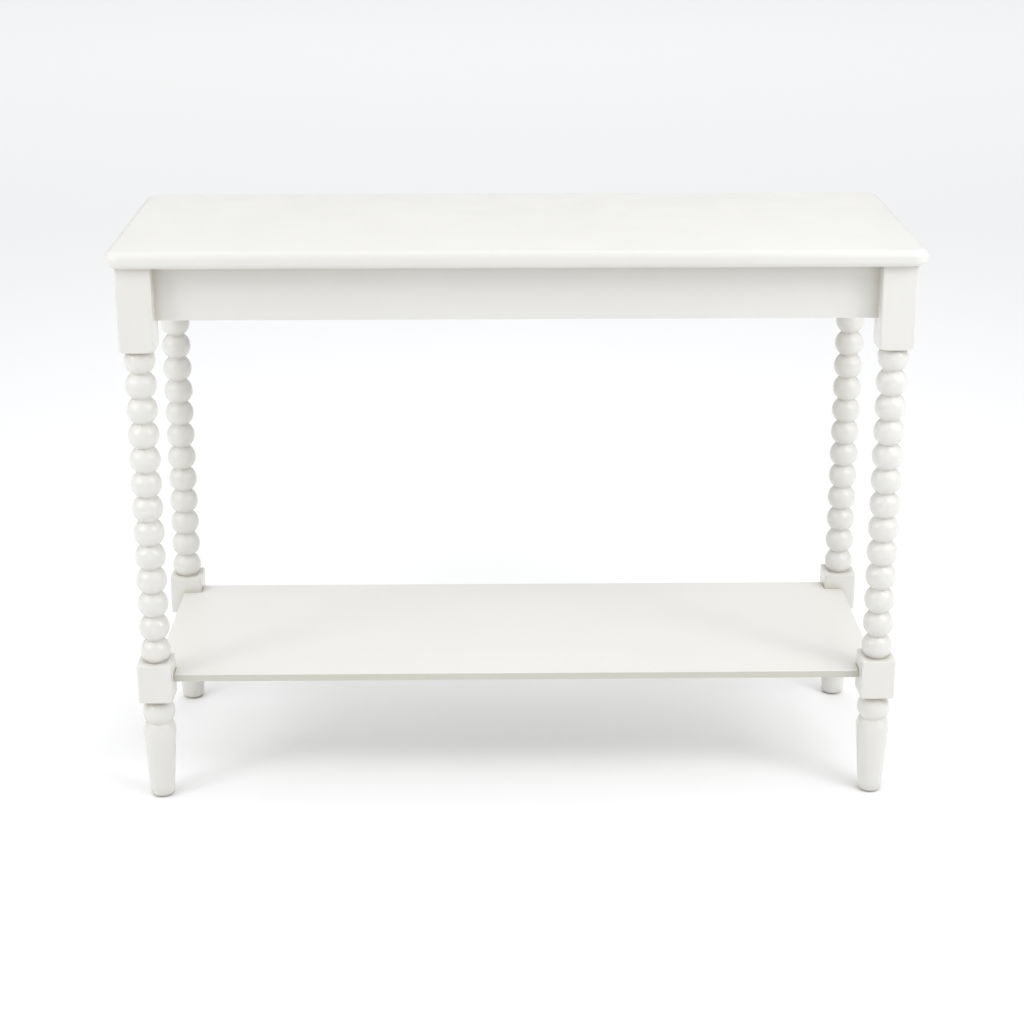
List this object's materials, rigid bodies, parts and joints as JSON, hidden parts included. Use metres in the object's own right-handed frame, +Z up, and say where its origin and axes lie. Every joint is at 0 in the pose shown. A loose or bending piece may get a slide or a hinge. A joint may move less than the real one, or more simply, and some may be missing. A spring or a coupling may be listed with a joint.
{
  "type": "console table",
  "caption": "White console table with a rounded top, bead-turned legs, plain aprons and a thin lower shelf notched round the legs.",
  "frame": {"origin": "on the floor, under the middle of the table", "axes": "+X along the length to the right, +Y to the rear, +Z up; the front faces -Y"},
  "size_m": [1.07, 0.39, 0.787],
  "materials": {
    "painted_top": "satin warm white paint",
    "painted_frame": "satin warm white paint",
    "painted_shelf": "satin warm white paint",
    "beech": "bare beech",
    "zinc_sheet": "zinc plated",
    "zinc_fasteners": "zinc plated",
    "glide_plastic": "matt"
  },
  "bodies": {
    "root": {"table_top": "painted_top", "apron_front": "painted_frame", "apron_rear": "painted_frame", "apron_left": "painted_frame", "apron_right": "painted_frame", "leg_front_left": "painted_frame", "leg_front_right": "painted_frame", "leg_rear_left": "painted_frame", "leg_rear_right": "painted_frame", "lower_shelf": "painted_shelf", "apron_dowels": "beech", "corner_bracket_front_left": "zinc_sheet", "corner_bracket_front_right": "zinc_sheet", "corner_bracket_rear_left": "zinc_sheet", "corner_bracket_rear_right": "zinc_sheet", "corner_bracket_screws": "zinc_fasteners", "hanger_bolts": "zinc_fasteners", "hanger_washers": "zinc_fasteners", "hanger_nuts": "zinc_fasteners", "top_clips": "zinc_sheet", "top_clip_screws": "zinc_fasteners", "shelf_bracket_front_left": "zinc_sheet", "shelf_bracket_front_right": "zinc_sheet", "shelf_bracket_rear_left": "zinc_sheet", "shelf_bracket_rear_right": "zinc_sheet", "shelf_bracket_leg_screws": "zinc_fasteners", "shelf_bracket_shelf_screws": "zinc_fasteners", "foot_glide_front_left": "glide_plastic", "foot_glide_front_right": "glide_plastic", "foot_glide_rear_left": "glide_plastic", "foot_glide_rear_right": "glide_plastic", "glide_nails": "zinc_fasteners"}
  },
  "joints": []
}
